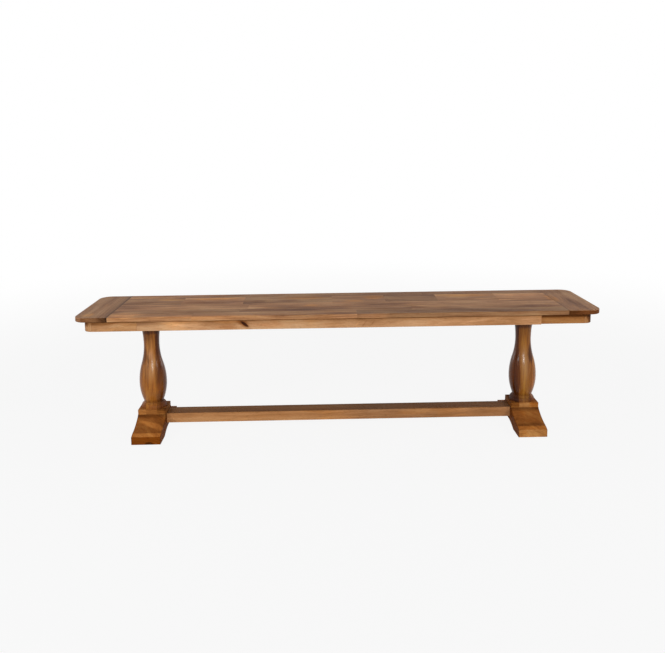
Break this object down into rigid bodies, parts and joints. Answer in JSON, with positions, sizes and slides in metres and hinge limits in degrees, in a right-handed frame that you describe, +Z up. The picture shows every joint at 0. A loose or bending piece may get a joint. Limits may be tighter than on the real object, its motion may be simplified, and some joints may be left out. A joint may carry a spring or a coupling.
{
  "type": "pedestal bench",
  "caption": "Long wooden bench: a thin stave seat with end boards and a shallow apron on two vase-turned pedestals with plinths and arched sledge feet, joined by a low stretcher",
  "frame": {"origin": "on the floor under the middle of the seat", "axes": "+X along the seat to the right, +Y from the front towards the back, +Z up"},
  "size_m": [1.798, 0.35, 0.46],
  "materials": {
    "seat_boards": "satin clear coat over brown stain",
    "end_boards": "satin clear coat over brown stain",
    "apron_wood": "satin clear coat over brown stain",
    "frame_wood": "bare, lightly stained",
    "pedestal_wood": "satin clear coat over brown stain",
    "stretcher_wood": "satin clear coat over brown stain",
    "dowel_wood": "bare, fluted",
    "insert_metal": "zinc plated",
    "steel": "zinc plated"
  },
  "bodies": {
    "root": {"back_apron_rail": "apron_wood", "centre_batten": "frame_wood", "foot_bolts": "steel", "front_apron_rail": "apron_wood", "left_apron_end": "apron_wood", "left_back_apron_return": "apron_wood", "left_back_corner_block": "frame_wood", "left_baluster": "pedestal_wood", "left_bearer": "frame_wood", "left_capital": "pedestal_wood", "left_end_board": "end_boards", "left_foot": "pedestal_wood", "left_front_apron_return": "apron_wood", "left_front_corner_block": "frame_wood", "left_plinth": "pedestal_wood", "leg_dowels": "dowel_wood", "right_apron_end": "apron_wood", "right_back_apron_return": "apron_wood", "right_back_corner_block": "frame_wood", "right_baluster": "pedestal_wood", "right_bearer": "frame_wood", "right_capital": "pedestal_wood", "right_end_board": "end_boards", "right_foot": "pedestal_wood", "right_front_apron_return": "apron_wood", "right_front_corner_block": "frame_wood", "right_plinth": "pedestal_wood", "row_1_stave_1": "seat_boards", "row_1_stave_2": "seat_boards", "row_1_stave_3": "seat_boards", "row_2_stave_1": "seat_boards", "row_2_stave_2": "seat_boards", "row_2_stave_3": "seat_boards", "row_3_stave_1": "seat_boards", "row_3_stave_2": "seat_boards", "row_3_stave_3": "seat_boards", "row_4_stave_1": "seat_boards", "row_4_stave_2": "seat_boards", "row_4_stave_3": "seat_boards", "row_4_stave_4": "seat_boards", "row_4_stave_5": "seat_boards", "row_4_stave_6": "seat_boards", "row_4_stave_7": "seat_boards", "row_5_stave_1": "seat_boards", "row_5_stave_2": "seat_boards", "row_5_stave_3": "seat_boards", "seat_screws": "steel", "stretcher": "stretcher_wood", "stretcher_screws": "steel", "thread_inserts": "insert_metal", "top_bolts": "steel", "washers": "steel"}
  },
  "joints": []
}
